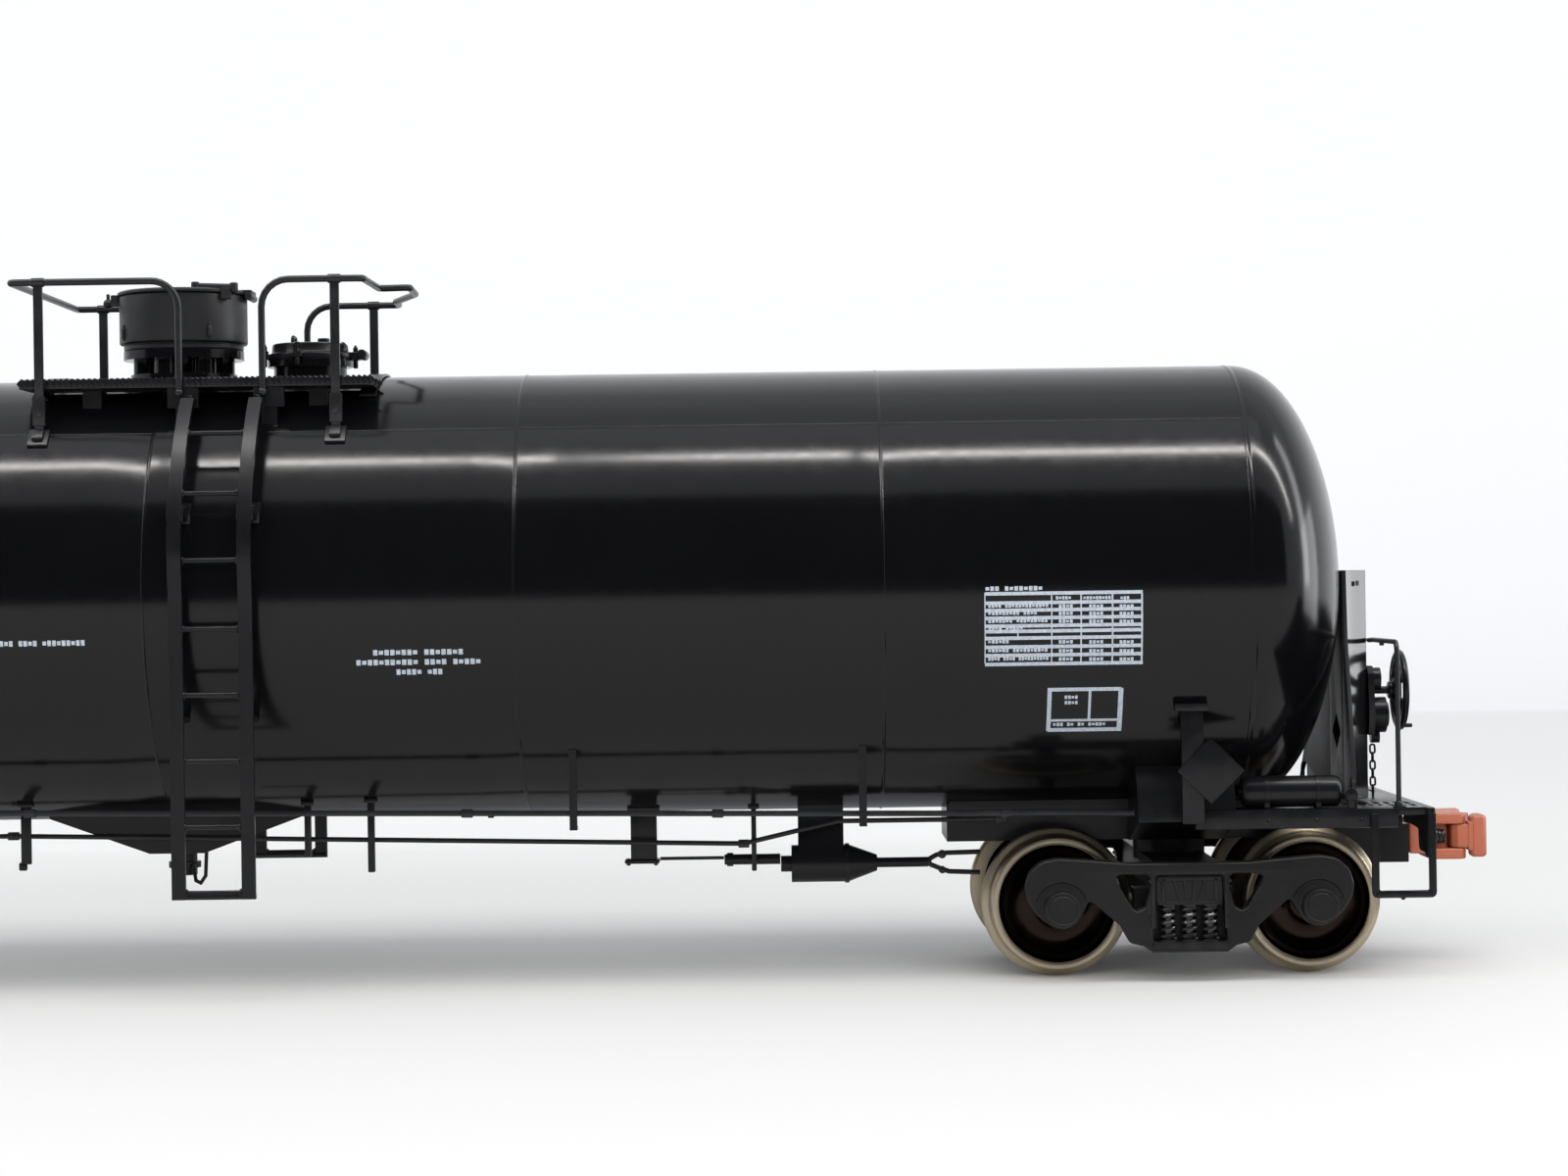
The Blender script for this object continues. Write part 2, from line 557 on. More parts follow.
# ---- ladders
def ladder(s, name, node):
    bm = bmesh.new()
    path = [(19.225, z) for z in (8.0, 14, 20, 26, 30.8)]
    r1 = 20.12
    # the stringer leans in from the straight part to the arc over the shoulder
    for d in range(8, 53, 3):
        a = math.radians(d)
        k = min(1.0, d / 20.0)
        rr = 19.225 / math.cos(a) * (1 - k) + r1 * k if d < 20 else r1
        path.append((rr * math.cos(a), AZ + rr * math.sin(a)))
    for x in (2.25, 7.55):
        xm = x + 0.525
        add_strip(bm, [(xm, s * y, z) for y, z in path], 1.05, 0.4)
        ya, yb = 14.0, 19.1
        def sb(a, b_, bev=0.08):
            add_box(bm, (a[0], min(s * a[1], s * b_[1]), a[2]), (b_[0], max(s * a[1], s * b_[1]), b_[2]), bev)
        sb((x - 0.12, 15.9, 36.7), (x + 1.17, 19.0, 37.9))          # stand-off clip, its root inside the shell
        sb((x - 0.3, 16.2, 36.5), (x + 1.35, 17.0, 38.1))
        sb((x, 11.86, 45.95), (x + 1.05, 13.0, 46.4), 0.06)
        add_cyl(bm, (xm, s * 12.45, 46.3), (xm, s * 12.45, 46.62), 0.3, 6, 0.03)
        # lower stay
        add_tube(bm, [(xm, s * 19.1, 21.5), (xm, s * 15.2, 21.5)], 0.3, 12)
        add_cyl(bm, (xm, s * 19.35, 21.5), (xm, s * 19.0, 21.5), 0.42, 12, 0.06)
    for z in (8.5, 13.5, 18.5, 23.5, 28.5, 33.7, 38.8, 43.5):
        y = 19.225 if z < 33 else (19.1 if z < 36 else math.sqrt(r1 * r1 - (z - AZ) ** 2))
        add_tube(bm, [(2.5, s * y, z), (8.4, s * y, z)], 0.2, 12)
        for x in (3.32, 7.53):
            add_cyl(bm, (x, s * y, z), (x + (0.14 if x < 5 else -0.14), s * y, z), 0.32, 10, 0.04)
    add_box(bm, (2.25, min(s * 18.85, s * 19.42), 8.0), (8.6, max(s * 18.85, s * 19.42), 8.4), 0.08)
    o = finish_mesh(name, bm, M["frame_black"], 35); soften(o, 0.05, 40)
    place(o, "car", "frame_black", node)
ladder(-1, "ladder_bars_near", "ladder_near")
ladder(1, "ladder_bars_far", "ladder_far")

# ---- end rails
bm = bmesh.new()
for s in (-1, 1):
    add_tube(bm, fillet([(96.4, s * 0.95, 26.1), (96.45, s * 2.6, 26.15), (96.45, s * 12.75, 26.15), (96.45, s * 12.75, 13.32)], [0.5, 0.8], 8), 0.2, 12)
    add_sphere(bm, (96.45, s * 12.75, 13.5), 0.36, 12)
    add_box(bm, (96.25, s * 6.5 - 0.12, 25.75), (96.6, s * 6.5 + 0.12, 26.1), 0.05)
pts = [(-96.45, -12.75, 13.32), (-96.45, -12.75, 26.15), (-96.45, 12.75, 26.15), (-96.45, 12.75, 13.32)]
add_tube(bm, fillet(pts, 0.8, 8), 0.2, 12)
for s in (-1, 1):
    add_sphere(bm, (-96.45, s * 12.75, 13.5), 0.36, 12)
o = finish_mesh("end_rail_wires", bm, M["wire_black"], 40); place(o, "car", "wire_black", "end_handrails")

# ---- brake stand: swept back plate with a diamond hole, folded column with a small window
def brake_stand():
    bm = bmesh.new()
    def half(s):
        # half of the swept plate as a flat sheet, then leaned back
        out = [(3.15, 13.32), (13.25, 13.32), (13.25, 13.9), (8.7, 21.2), (4.6, 26.3), (3.3, 31.8), (3.15, 31.8)]
        notch = round2([(10.6, 13.9), (12.55, 13.9), (12.55, 15.6), (10.6, 15.6)], [0.1, 0.1, 0.8, 0.5], 4)
        pb = plate_mesh([(s * a, b2) for a, b2 in out] if s > 0 else [(s * a, b2) for a, b2 in reversed(out)], [[(s * a, b2) for a, b2 in notch]], 0.36, bevel=0.05, res=1)
        for v in pb.verts:
            t = (abs(v.co.x) / MM - 3.3) / 10.0
            v.co.z += (94.02 - 1.05 * t) * MM - 94.02 * MM
        from_plate(bm, pb, YZ(94.02)); pb.free()
    half(1); half(-1)
    mid = [(-3.2, 13.32), (3.2, 13.32), (3.2, 31.8), (-3.2, 31.8)]
    pb = plate_mesh(mid, [round2([(-1.95, 18.7), (0, 17.25), (1.95, 18.7), (0, 20.15)], 0.1, 2)], 0.36, bevel=0.05, res=1)
    from_plate(bm, pb, YZ(94.02)); pb.free()
    # column: two slanted cheeks and a front, as one bent sheet
    sec = fillet([(94.15, -3.25, 0), (96.2, -0.95, 0), (96.2, 0.95, 0), (94.15, 3.25, 0)], 0.22, 4)
    inner = fillet([(94.15, -2.85, 0), (95.95, -0.82, 0), (95.95, 0.82, 0), (94.15, 2.85, 0)], 0.1, 4)
    loop = [tuple(p.xy) for p in sec] + [tuple(p.xy) for p in reversed(inner)]
    pb = plate_mesh(loop, [], 31.8 - 13.32, bevel=0.04, res=1)
    for f in pb.faces:
        f.material_index = 1
    from_plate(bm, pb, Matrix.Translation((0, 0, (31.8 + 13.32) / 2 * MM))); pb.free()
    # rivets down the cheeks and the window frame
    for s in (-1, 1):
        add_box(bm, (94.95, s * 2.3 - 0.03, 30.55), (95.4, s * 2.3 + 0.03, 30.95), 0.02, 1, rot=Matrix.Rotation(s * -math.radians(49), 3, 'Z'), origin=(95.17, s * 2.14, 30.75))
    # foot angle on the deck
    add_box(bm, (93.95, -9.5, 13.3), (94.5, 9.5, 13.55), 0.06)
    o = finish_mesh("brake_stand_sheet", bm, [M["plate_black"], M["stand_black"]], 30)
    place(o, "car", "frame_black", "brake_stand")
    # dark window recess
brake_stand()

# ---- air reservoir: drawn cylinder with flat-domed ends, straps and charging valve
bm = bmesh.new()
prof = [(0, 0), (0.7, 0.0), (0.95, 0.06), (1.12, 0.2), (1.2, 0.42), (1.22, 0.6), (1.22, 7.25), (1.2, 7.4), (1.12, 7.58), (0.95, 7.7), (0.7, 7.75), (0, 7.75)]
add_revolve(bm, prof, (84.3, -11.9, 14.6), (1, 0, 0), 64)
for x in (86.0, 90.0):
    add_revolve(bm, [(1.2, 0), (1.27, 0.03), (1.27, 0.37), (1.2, 0.4)], (x, -11.9, 14.6), (1, 0, 0), 64)
    add_box(bm, (x, -12.9, 13.32), (x + 0.4, -10.9, 13.9), 0.05)
add_cyl(bm, (84.35, -11.9, 14.6), (84.1, -11.9, 14.6), 0.25, 8, 0.03)
add_box(bm, (92.4, -13.55, 13.32), (92.9, -13.15, 14.9), 0.08)
add_cyl(bm, (92.65, -13.3, 14.4), (92.65, -13.75, 14.4), 0.5, 20, 0.1)
add_cyl(bm, (92.65, -13.7, 14.4), (92.65, -13.9, 14.4), 0.26, 6, 0.03)
add_tube(bm, [(91.8, -12.4, 14.3), (92.6, -13.3, 14.3)], 0.2, 10)
o = finish_mesh("reservoir_tank", bm, M["frame_black"], 35); place(o, "car", "frame_black", "air_reservoir")

# ---- hand brake wheel: rolled rim, dished web with six openings, hub and handle
def brake_wheel():
    bm = bmesh.new()
    cx, cz = 99.0, 22.0
    dish = lambda r: -0.62 * max(0.0, 1 - (r - 0.7) / 2.2) ** 1.3
    outer = [(3.0 * math.cos(a), 3.0 * math.sin(a)) for a in [2 * math.pi * i / 72 for i in range(72)]]
    holes = []
    for k in range(6):
        a0 = math.radians(60 * k + 11); a1 = math.radians(60 * k + 49)
        arc_o = [(2.55 * math.cos(a), 2.55 * math.sin(a)) for a in [a0 + (a1 - a0) * i / 6 for i in range(7)]]
        am = (a0 + a1) / 2
        inn = [(1.05 * math.cos(am + 0.18), 1.05 * math.sin(am + 0.18)), (1.05 * math.cos(am - 0.18), 1.05 * math.sin(am - 0.18))]
        holes.append(round2(arc_o + inn, [0.35] + [0] * 5 + [0.35, 0.12, 0.12], 4))
    pb = plate_mesh(outer, holes, 0.3, bevel=0.09, res=2)
    for v in pb.verts:
        r = math.hypot(v.co.x, v.co.y) / MM
        v.co.z += dish(r) * MM
    from_plate(bm, pb, Matrix.Translation((cx * MM, 0, cz * MM)) @ Matrix.Rotation(math.radians(90), 4, 'Y')); pb.free()
    ringp = [(cx, 3.02 * math.cos(a), cz + 3.02 * math.sin(a)) for a in [2 * math.pi * i / 72 for i in range(72)]]
    add_tube(bm, ringp, 0.27, 12, closed=True)
    add_cyl(bm, (96.85, 0, cz), (98.6, 0, cz), 0.31, 20)
    add_cyl(bm, (98.05, 0, cz), (98.78, 0, cz), 0.72, 24, 0.15)
    add_cyl(bm, (98.7, 0, cz), (98.98, 0, cz), 0.3, 6, 0.05)
    a = math.radians(200)
    py, pz = -3.05 * math.sin(a) * 1.0, 3.05 * math.cos(a)
    add_cyl(bm, (99.0, -abs(py), cz + pz), (99.82, -abs(py), cz + pz), 0.17, 12, 0.08)
    o = finish_mesh("brake_hand_wheel", bm, M["frame_black"], 40); place(o, "car", "frame_black", "brake_wheel")
brake_wheel()

# ---- hand brake chain of round links
bm = bmesh.new()
for i in range(6):
    z = 17.2 - i * 0.66
    if z < 13.6:
        continue
    loop = []
    for k in range(16):
        a = 2 * math.pi * k / 16
        u = 0.2 * math.cos(a); v = 0.2 * math.sin(a) + (0.17 if math.sin(a) > 0 else -0.17)
        loop.append((96.75 + (u if i % 2 == 0 else 0), (0 if i % 2 == 0 else u), z + v))
    add_tube(bm, loop, 0.085, 8, closed=True)
add_tube(bm, [(96.75, 0, 13.75), (96.75, 0, 13.3)], 0.1, 8)
o = finish_mesh("brake_chain_links", bm, M["wire_black"], 40); place(o, "car", "wire_black", "brake_chain")

# ---- train pipe and brake rods with their real bends
bm = bmesh.new()
add_tube(bm, [(-75.9, -12.4, 15.19), (-30, -12.4, 14.55), (20, -12.4, 13.86), (75.9, -12.4, 13.08)], 0.23, 12)
for x in (-66, -43.5, -10, 24, 43.5, 66):
    z = 15.19 - (x + 75.9) / 151.8 * 2.11
    add_cyl(bm, (x - 0.45, -12.4, z), (x + 0.45, -12.4, z - 0.014), 0.34, 12, 0.06)
o = finish_mesh("train_pipe_tube", bm, M["wire_black"], 40); place(o, "car", "wire_black", "train_pipe")

bm = bmesh.new()
main = [(-58, -5.3, 11.9), (-13, -5.3, 12.0), (45.4, -5.3, 10.6), (49.8, -5.3, 11.6), (53, -5.3, 12.3), (66, -5.3, 12.3)]
add_tube(bm, fillet(main, [6, 3, 2, 2], 6), 0.2, 12)
for x, z in ((-58, 11.9), (-13, 12.0), (45.4, 10.6), (66, 12.3)):
    add_box(bm, (x - 0.45, -5.55, z - 0.32), (x + 0.45, -5.05, z + 0.32), 0.08)
    add_cyl(bm, (x, -5.72, z), (x, -4.9, z), 0.16, 10, 0.03)
add_tube(bm, [(38.62, -3, 9.3), (43.76, -3, 9.3)], 0.14, 10)
add_tube(bm, [(6.6, -7, 10.3), (10.5, -7, 10.3)], 0.14, 10)
# twisted pair of rods from the cylinder's pull rod to the truck, with a clevis
add_tube(bm, fillet([(59.9, -3, 8.75), (60.9, -3, 9.3), (61.7, -3, 9.45), (64.4, -3, 9.5)], 0.4, 4), 0.2, 10)
add_tube(bm, fillet([(59.9, -3, 8.75), (61.2, -3, 8.2), (61.9, -3, 7.95), (64.4, -3, 7.85)], 0.4, 4), 0.2, 10)
add_box(bm, (59.6, -3.3, 8.4), (60.5, -2.7, 9.1), 0.14)
add_cyl(bm, (61.35, -3.35, 9.35), (61.35, -2.65, 9.35), 0.34, 16, 0.06)
add_cyl(bm, (61.35, -3.35, 8.1), (61.35, -2.65, 8.1), 0.3, 16, 0.06)
o = finish_mesh("brake_rod_wires", bm, M["wire_black"], 40); place(o, "car", "wire_black", "brake_rods")

# ---- outlet chain and cap (kept valve node plus details)
# ---- bonnet drum and lid, turned
bm = bmesh.new()
B = 5.15
prof = [(4.1, 0.0), (B - 0.42, 0.0), (B - 0.36, 0.05), (B - 0.34, 0.14), (B - 0.34, 0.38), (B - 0.42, 0.44), (B - 0.42, 0.52), (B - 0.1, 0.55),
        (B - 0.02, 0.62), (B, 0.72), (B, 4.3), (B - 0.05, 4.45), (B - 0.15, 4.5), (B - 0.6, 4.5), (B - 0.6, 0.6), (4.1, 0.6)]
add_revolve(bm, prof, (0.2, 0, 50.92), (0, 0, 1), 128, closed=True)
for a in (33, 123, 213, 303):
    c = Vector((0.2, 0, 0)); r3 = Matrix.Rotation(math.radians(a), 3, 'Z')
    add_box(bm, (0.2 + B - 0.25, -0.18, 51.85), (0.2 + B + 0.2, 0.18, 52.7), 0.07, rot=r3, origin=(0.2, 0, 52.2))
    q = r3 @ Vector((B + 0.02, 0, 0)) + Vector((0.2, 0, 0))
    add_cyl(bm, (q.x, q.y, 51.7), (q.x, q.y, 53.0), 0.1, 8, 0.02)
o = finish_mesh("bonnet_drum_shell", bm, M["bonnet_black"], 40); place(o, "car", "frame_black", "bonnet_drum")

bm = bmesh.new()
prof = [(0, -0.3), (B - 0.75, -0.3), (B - 0.7, -0.25), (B - 0.7, 0.0), (B + 0.1, 0.0), (B + 0.15, 0.05), (B + 0.15, 0.2), (B + 0.08, 0.28), (B - 0.15, 0.36), (B - 0.8, 0.42), (2, 0.47), (0, 0.48)]
add_revolve(bm, prof, (0.2, 0, 55.44), (0, 0, 1), 128)
add_tube(bm, [(1.75, -3.4, 56.02), (4.95, -3.4, 55.9)], 0.24, 12)
for p in ((1.8, -3.4, 56.0), (4.9, -3.4, 55.9)):
    add_cyl(bm, (p[0], p[1], p[2] - 0.45), (p[0], p[1], p[2] + 0.34), 0.34, 12, 0.1)
add_box(bm, (1.9, -3.65, 55.5), (4.8, -3.15, 55.95), 0.08)
add_box(bm, (3.9, -3.9, 54.9), (4.7, -3.1, 55.8), 0.1)
add_box(bm, (4.2, -1.2, 55.46), (5.95, 1.2, 55.85), 0.1)
add_cyl(bm, (5.72, -1.5, 55.3), (5.72, 1.5, 55.3), 0.3, 16, 0.06)
add_box(bm, (-5.7, -0.3, 54.7), (-5.02, 0.3, 55.65), 0.08)
add_sphere(bm, (-5.95, 0, 54.95), 0.4, 16)
add_cyl(bm, (-5.95, 0, 54.6), (-5.95, 0, 55.75), 0.14, 10)
o = finish_mesh("bonnet_lid_plate", bm, M["bonnet_black"], 40); place(o, "car", "frame_black", "bonnet_lid")

# ---- manway cover
bm = bmesh.new()
prof = [(0, 0), (3.4, 0), (3.45, 0.05), (3.45, 0.42), (3.4, 0.5), (3.18, 0.56), (3.1, 0.66), (3.06, 1.16), (3.0, 1.3), (2.8, 1.36), (1.9, 1.42), (0.9, 1.5), (0, 1.52)]
add_revolve(bm, prof, (10.5, 0, 50.07), (0, 0, 1), 96)
for a in range(22, 330, 60):
    r3 = Matrix.Rotation(math.radians(a), 3, 'Z')
    add_box(bm, (10.5 + 3.2, -0.42, 50.12), (10.5 + 4.1, 0.42, 50.55), 0.1, rot=r3, origin=(10.5, 0, 50.3))
    q = r3 @ Vector((3.78, 0, 0)) + Vector((10.5, 0, 0))
    add_cyl(bm, (q.x, q.y, 49.5), (q.x, q.y, 51.2), 0.2, 10)
    ring = [(q.x + 0.27 * math.cos(t) * math.cos(math.radians(a + 90)), q.y + 0.27 * math.cos(t) * math.sin(math.radians(a + 90)), 51.05 + 0.27 * math.sin(t)) for t in [2 * math.pi * k / 14 for k in range(14)]]
    add_tube(bm, ring, 0.1, 8, closed=True)
    add_cyl(bm, (q.x, q.y, 50.55), (q.x, q.y, 50.8), 0.34, 6, 0.03)
add_box(bm, (13.6, -0.9, 50.12), (15.1, 0.9, 50.7), 0.1)
add_cyl(bm, (14.8, -1.1, 50.5), (14.8, 1.1, 50.5), 0.4, 20, 0.08)
add_tube(bm, fillet([(9.2, -0.8, 51.45), (9.2, -0.8, 52.0), (9.2, 0.8, 52.0), (9.2, 0.8, 51.45)], 0.25, 4), 0.15, 10)
add_cyl(bm, (11.6, 0, 51.5), (11.6, 0, 51.9), 0.5, 16, 0.1)
o = finish_mesh("manway_cover_disc", bm, M["frame_black"], 40); place(o, "car", "frame_black", "manway_cover")

# ---- trucks: cast side frames with journal caps, spring nests and bolster ends
def side_out():
    half = [(0, 9.3), (4.6, 9.3), (7.4, 9.55), (10.2, 9.75), (11.5, 9.5), (12.4, 8.7), (12.78, 7.5), (12.6, 6.5), (12.0, 5.5), (11.2, 4.75),
            (9.95, 4.5), (8.8, 4.85), (8.2, 5.6), (7.8, 6.5), (5.4, 4.45), (4.65, 3.1), (3.6, 2.85), (2.9, 2.35), (0, 2.35)]
    rad = [0, 1.5, 2, 1.5, 1.2, 1.2, 1.5, 1.5, 1.2, 1.0, 1.0, 0.7, 0.7, 0.45, 0.5, 0.4, 0.4, 0.3, 0]
    pts = half + [(-x, z) for x, z in half[-2:0:-1]]
    rr = rad + rad[-2:0:-1]
    return round2(pts, rr, 4)
def windows():
    w = []
    for s in (1, -1):
        p = [(5.9, 8.4), (3.2, 8.4), (3.0, 7.6), (3.5, 5.85), (4.1, 5.55), (4.5, 5.9)]
        p = [(s * x, z) for x, z in p]
        w.append(round2(p, 0.4, 3))
    w.append(round2([(-2.6, 8.3), (2.6, 8.3), (2.6, 7.0), (2.85, 3.2), (-2.85, 3.2), (-2.6, 7.0)], [0.25, 0.25, 0, 0.2, 0.2, 0], 3))
    return w
def offset_poly(pts, d):
    """moves a closed outline inwards by d"""
    n = len(pts); out = []
    area2 = sum(pts[i][0] * pts[(i + 1) % n][1] - pts[(i + 1) % n][0] * pts[i][1] for i in range(n))
    sg = 1 if area2 > 0 else -1
    for i in range(n):
        a, b_, c = Vector(pts[i - 1]), Vector(pts[i]), Vector(pts[(i + 1) % n])
        t = ((b_ - a).normalized() + (c - b_).normalized()).normalized()
        nn = Vector((-t.y, t.x)) * sg
        out.append(tuple(b_ + nn * d))
    return out

def side_frames(tag, xc):
    bm = bmesh.new()
    out = side_out(); win = windows()
    web = plate_mesh(out, win, 1.55, bevel=0.24, res=4)
    for s in (-1, 1):
        from_plate(bm, web, Matrix.Translation((xc * MM, 0, 0)) @ XZ(s * 12.99))
        for sx in (-1, 1):
            ax = xc + sx * 9.95
            # adapter rim and roller bearing end cap
            prof = [(0, 0), (1.62, 0), (1.6, 0.1), (1.5, 0.14), (1.4, 0.16), (1.4, 1.36), (1.36, 1.48), (1.26, 1.54), (1.14, 1.56), (1.1, 1.53), (1.06, 1.53), (1.02, 1.56), (0, 1.58)]
            add_revolve(bm, prof, (ax, s * 13.72, 5.89), (0, s, 0), 48)
            # pedestal rib that arches over the bearing
            arch = [(ax + 2.05 * math.cos(a), s * 13.75, 5.89 + 2.05 * math.sin(a)) for a in [math.radians(d) for d in range(15, 166, 10)]]
            add_tube(bm, arch, 0.1, 8)
        # column guides and their bolt heads
        for sx in (-1, 1):
            xx = xc + sx * 2.86
            add_box(bm, (xx - 0.2, min(s * 13.2, s * 13.86), 4.2), (xx + 0.2, max(s * 13.2, s * 13.86), 8.4), 0.1)
            for z in (5.1, 7.9):
                add_cyl(bm, (xc + sx * 3.05, s * 13.6, z), (xc + sx * 3.05, s * 13.95, z), 0.17, 8, 0.04)
        # spring seat lip
        add_box(bm, (xc - 2.9, min(s * 12.2, s * 14.0), 2.6), (xc + 2.9, max(s * 12.2, s * 14.0), 3.2), 0.12)
        # web behind the springs
        add_box(bm, (xc - 2.85, min(s * 12.2, s * 12.34), 2.9), (xc + 2.85, max(s * 12.2, s * 12.34), 6.0), 0.02, 1)
        # inner bearing pads
        for sx in (-1, 1):
            ax = xc + sx * 9.95
            add_cyl(bm, (ax, s * 12.3, 5.89), (ax, s * 12.02, 5.89), 1.35, 32, 0.08)
    web.free()
    o = finish_mesh("truck_frames_" + tag, bm, M["truck_grey"], 35); soften(o, 0.03, 50)
    place(o, "truck_" + tag, "truck_grey", "sideframes_" + tag)

def spring_nests(tag, xc):
    bm = bmesh.new()
    for s in (-1, 1):
        for i in (-1, 0, 1):
            cx, cy = xc + i * 1.65, s * 12.98
            pts = []
            turns, n = 5.2, 20
            for k in range(int(turns * n) + 1):
                a = 2 * math.pi * k / n
                h = min(max((k / (turns * n)) * 1.06 - 0.03, 0), 1)
                pts.append((cx + 0.55 * math.cos(a), cy + 0.55 * math.sin(a), 3.32 + 2.56 * h))
            add_tube(bm, pts, 0.155, 8)
            add_cyl(bm, (cx, cy, 3.2), (cx, cy, 6.0), 0.34, 16, 0.03)
            for z in (3.18, 5.92):
                add_cyl(bm, (cx, cy, z), (cx, cy, z + 0.12), 0.7, 20, 0.04)
    o = finish_mesh("truck_springs_" + tag, bm, M["spring_paint"], 40)
    place(o, "truck_" + tag, "truck_grey", "springs_" + tag)

def bolster_caps(tag, xc):
    """cast ends of the bolster as seen in the side frame openings"""
    bm = bmesh.new()
    for s in (-1, 1):
        y = s * 13.5
        add_box(bm, (xc - 2.5, min(s * 13.3, s * 13.62), 6.0), (xc + 2.5, max(s * 13.3, s * 13.62), 6.3), 0.08)
        add_box(bm, (xc - 2.5, min(s * 13.3, s * 13.62), 7.85), (xc + 2.5, max(s * 13.3, s * 13.62), 8.22), 0.08)
        for k, sh in ((-1.5, -0.55), (-0.5, -0.2), (0.5, 0.2), (1.5, 0.55)):
            p = [(xc + k * 0.45, y, 6.25), (xc + k * 0.45 + sh, y, 7.95)]
            add_strip(bm, p, 0.2, 0.24, side=(1, 0, 0))
        for k in (-2.05, 2.05):
            add_box(bm, (xc + k - 0.15, min(s * 13.3, s * 13.62), 6.1), (xc + k + 0.15, max(s * 13.3, s * 13.62), 8.1), 0.06)
    o = finish_mesh("bolster_ribs_" + tag, bm, M["truck_grey"], 35); soften(o, 0.03, 45)
    place(o, "truck_" + tag, "truck_grey")

for tag, xc in (("a", -80.0), ("b", 80.0)):
    side_frames(tag, xc); spring_nests(tag, xc); bolster_caps(tag, xc)

# ---- wheels: brass-coloured rim and flange, blackened plate
def wheel_pair(i, xc):
    bm = bmesh.new()
    prof = [(1.02, 7.25, 1), (1.6, 7.25, 1), (1.9, 7.5, 1), (2.6, 7.95, 1), (3.6, 8.0, 1), (4.3, 7.7, 1), (4.62, 7.35, 1), (4.7, 7.25, 0), (5.5, 7.25, 0), (5.7, 7.3, 0), (5.84, 7.43, 0), (5.885, 7.6, 0), (5.84, 7.76, 0), (5.7, 7.89, 0),
            (5.45, 8.0, 0), (5.32, 8.12, 0), (5.26, 8.3, 0), (5.22, 8.6, 0), (5.18, 9.4, 0), (5.16, 9.93, 0), (5.12, 10.02, 0), (5.04, 10.05, 0), (4.68, 10.05, 0), (4.6, 10.0, 1), (4.55, 9.85, 1), (4.5, 9.6, 1),
            (4.3, 9.35, 1), (3.9, 9.12, 1), (3.3, 8.93, 1), (2.7, 8.9, 1), (2.2, 9.02, 1), (1.85, 9.25, 1), (1.65, 9.5, 1), (1.55, 9.58, 1), (1.02, 9.58, 1)]
    for s in (-1, 1):
        add_revolve(bm, [(r, h) for r, h, m in prof], (xc, 0, 5.89), (0, s, 0), 160, closed=True, mat_of=lambda k: prof[k][2])
    o = finish_mesh("wheel_pair_%d" % i, bm, [M["wheel_tread"], M["wheel_face"]], 50)
    place(o, "wheelset_%d" % i, "wheel_metal", "wheels_%d" % i)
for i, xc in enumerate((-89.95, -70.05, 70.05, 89.95)):
    wheel_pair(i + 1, xc)

# ---- knuckle springs
for tag, sg in (("a", -1), ("b", 1)):
    bm = bmesh.new()
    pts = []
    n, turns = 14, 5
    for k in range(n * turns + 1):
        a = 2 * math.pi * k / n
        pts.append((sg * (101.12 + 0.95 * k / (n * turns)), sg * (-2.35 + 0.5 * math.cos(a)), 10.2 + 0.5 * math.sin(a)))
    add_tube(bm, pts, 0.1, 6)
    add_tube(bm, [(sg * 101.07, sg * -2.35, 10.2), (sg * 102.13, sg * -2.35, 10.2)], 0.3, 12)
    o = finish_mesh("knuckle_coil_" + tag, bm, M["spring_dark"], 40)
    place(o, "coupler_" + tag, "spring_dark", "knuckle_spring_" + tag)

# ---- hangers of the brake rods: flat bars with rounded edges and feet
def hanger(bm, x0, x1, y0, y1, z0, top=None):
    ym = (y0 + y1) / 2
    zt = AZ - math.sqrt(R * R - ym * ym) + 0.25 if top is None else top
    add_box(bm, (x0, y0, z0), (x1, y1, zt), 0.08)
    add_box(bm, (x0 - 0.25, y0 - 0.3, zt - 0.42), (x1 + 0.25, y1 + 0.3, zt - 0.05), 0.1)
bm = bmesh.new()
hanger(bm, -11.9, -11.1, -7.6, -7.2, 9.9)
add_box(bm, (-12.1, -7.6, 9.4), (-11.45, -7.2, 10.05), 0.12)
hanger(bm, 10.55, 11.05, -7.3, -6.6, 10.2)
hanger(bm, 15.6, 16.15, -7.6, -7.1, 8.9)
hanger(bm, 36.3, 38.4, -4.2, -3.5, 9.3)
add_box(bm, (35.8, -4.4, 9.0), (38.6, -2.6, 9.35), 0.12)
for x in (36.1, 38.3):
    add_cyl(bm, (x, -4.0, 8.85), (x, -4.0, 9.4), 0.16, 10, 0.04)
hanger(bm, 46.0, 46.4, -4.2, -3.8, 8.3)
hanger(bm, -24.3, -23.8, 5.0, 5.6, 9.6)
hanger(bm, 24.0, 24.5, 5.0, 5.6, 12.2)
o = finish_mesh("rod_hanger_bars", bm, M["frame_black"], 35); place(o, "car", "frame_black", "rod_hangers")

